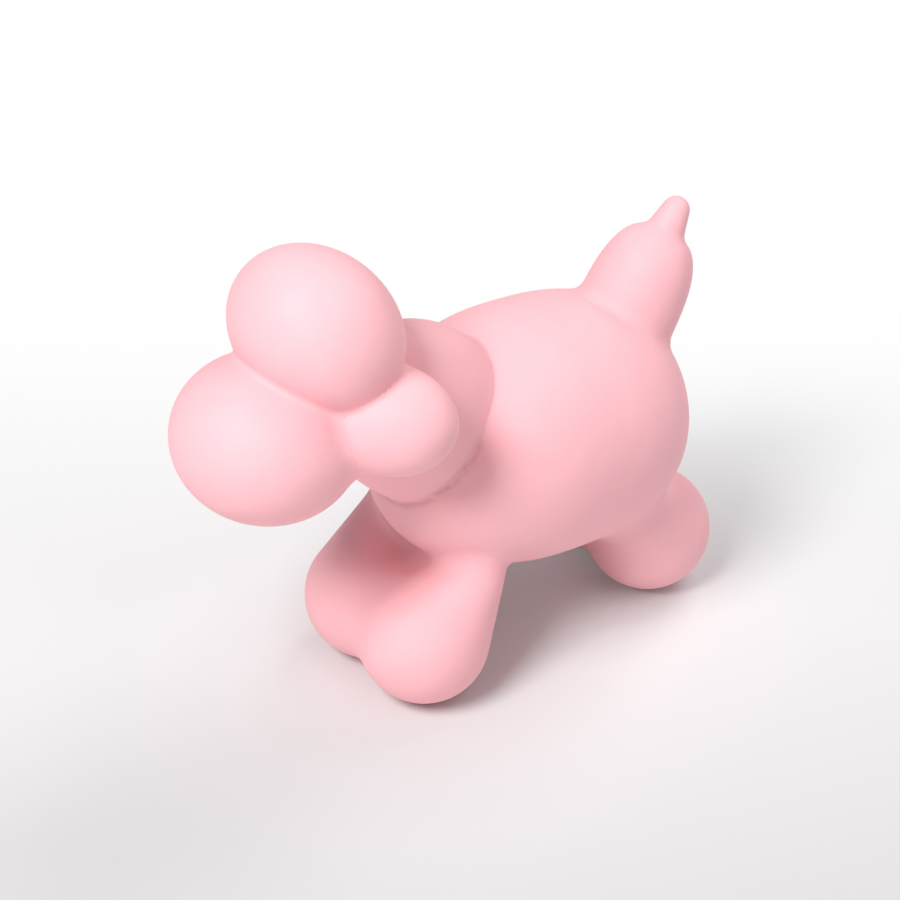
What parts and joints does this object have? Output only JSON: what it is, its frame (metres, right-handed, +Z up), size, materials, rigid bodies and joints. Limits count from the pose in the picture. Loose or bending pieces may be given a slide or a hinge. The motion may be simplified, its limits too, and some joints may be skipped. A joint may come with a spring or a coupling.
{
  "type": "squeaky dog toy",
  "caption": "Hollow latex squeaky toy in the form of a balloon-animal dog, with flanks that press in, a bending neck and tail, and a push-in reed squeaker in the belly.",
  "frame": {"origin": "on the floor, under the middle of the toy's bounding box", "axes": "the dog looks along -Y, its left side is +X, and +Z is up; X = 0 is the plane of symmetry"},
  "size_m": [0.064, 0.146, 0.126],
  "materials": {
    "latex": "matte pale pink latex",
    "squeaker_plastic": "satin white moulded plastic",
    "reed_plastic": "thin glossy strip"
  },
  "bodies": {
    "skin": {"torso": "latex", "neck": "latex", "front_leg_left": "latex", "front_leg_right": "latex", "rear_leg_left": "latex", "rear_leg_right": "latex", "squeaker_housing": "squeaker_plastic", "squeaker_cover": "squeaker_plastic", "reed_block": "squeaker_plastic", "reed_wedge": "squeaker_plastic"},
    "head": {"snout": "latex", "topknot": "latex", "ear_left": "latex", "ear_right": "latex"},
    "tail": {"tail": "latex"},
    "flank_left": {"flank_left": "latex"},
    "flank_right": {"flank_right": "latex"},
    "reed": {"reed": "reed_plastic"}
  },
  "joints": [
    {"name": "squeeze_left", "type": "slide", "parent": "skin", "child": "flank_left", "axis": [-1, 0, 0], "range_m": [0, 0.01], "stiffness_N_per_m": 600},
    {"name": "squeeze_right", "type": "slide", "parent": "skin", "child": "flank_right", "axis": [1, 0, 0], "range_m": [0, 0.01], "stiffness_N_per_m": 600},
    {"name": "head_nod", "type": "hinge", "parent": "skin", "child": "head", "pos_m": [0, -0.03203, 0.08051], "axis": [1, 0, 0], "range_deg": [-8, 8], "stiffness_Nm_per_rad": 2},
    {"name": "tail_wag", "type": "hinge", "parent": "skin", "child": "tail", "pos_m": [0, 0.05793, 0.07407], "axis": [0, 1, 0], "range_deg": [-10, 10], "stiffness_Nm_per_rad": 1},
    {"name": "reed_beat", "type": "hinge", "parent": "skin", "child": "reed", "pos_m": [0.00045, 0.02137, 0.0281], "axis": [0, 1, 0], "range_deg": [-3, 4], "stiffness_Nm_per_rad": 0.008}
  ],
  "couplings": [
    {"joint": "squeeze_right", "follows": "squeeze_left", "ratio": 1}
  ]
}
